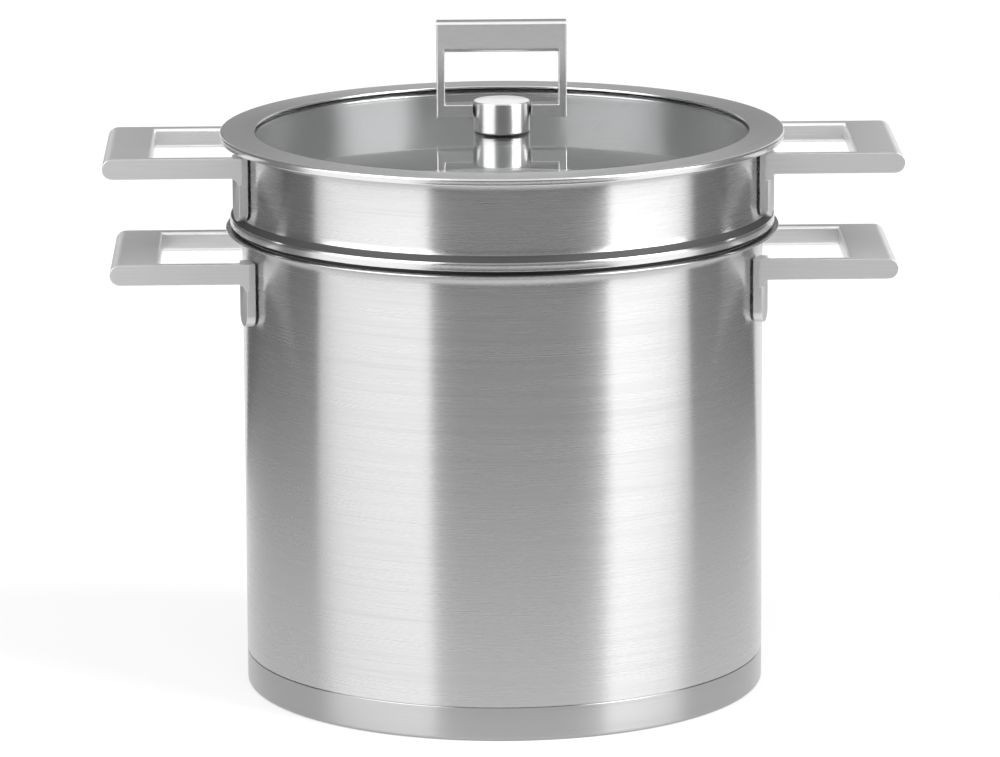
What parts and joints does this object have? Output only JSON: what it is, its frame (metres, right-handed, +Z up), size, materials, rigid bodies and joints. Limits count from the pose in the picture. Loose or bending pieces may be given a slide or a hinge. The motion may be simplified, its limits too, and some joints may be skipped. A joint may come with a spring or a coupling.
{
  "type": "pasta pot with strainer insert",
  "caption": "Tall stainless stockpot with a lift-out perforated strainer insert, loop handles, and a glass lid whose knob carries a folding loop.",
  "frame": {"origin": "middle of the base on the surface that the pot stands on", "axes": "+Z up, X along the pairs of loop handles, -Y to the front"},
  "size_m": [0.337, 0.24, 0.2856],
  "materials": {
    "satin_steel": "fine circumferential satin brushing",
    "strainer_steel": "satin, punched",
    "ring_steel": "turned satin",
    "forged_steel": "straight grained satin",
    "polished_steel": "polished",
    "aluminium_core": "as rolled",
    "clear_glass": "clear tempered",
    "black_silicone": "matt black silicone"
  },
  "bodies": {
    "pot": {"pot_shell": "satin_steel", "base_core": "aluminium_core", "base_cup": "satin_steel", "pot_handle_left": "forged_steel", "pot_handle_right": "forged_steel", "pot_pads_left": "forged_steel", "pot_pads_right": "forged_steel"},
    "insert": {"insert_collar": "satin_steel", "strainer_basket": "strainer_steel", "insert_handle_left": "forged_steel", "insert_handle_right": "forged_steel", "insert_pads_left": "forged_steel", "insert_pads_right": "forged_steel"},
    "lid": {"lid_ring": "ring_steel", "lid_seal": "black_silicone", "lid_glass": "clear_glass", "knob_washer": "black_silicone", "lid_knob": "polished_steel", "knob_screw": "polished_steel", "pivot_pin": "polished_steel"},
    "loop": {"lid_loop": "forged_steel"}
  },
  "joints": [
    {"name": "insert_lift", "type": "slide", "parent": "pot", "child": "insert", "axis": [0, 0, 1], "range_m": [0, 0.21]},
    {"name": "lid_lift", "type": "slide", "parent": "insert", "child": "lid", "axis": [0, 0, 1], "range_m": [0, 0.15]},
    {"name": "loop_turn", "type": "hinge", "parent": "lid", "child": "loop", "pos_m": [0, 0, 0.2473], "axis": [1, 0, 0], "range_deg": [-97, 97]}
  ]
}
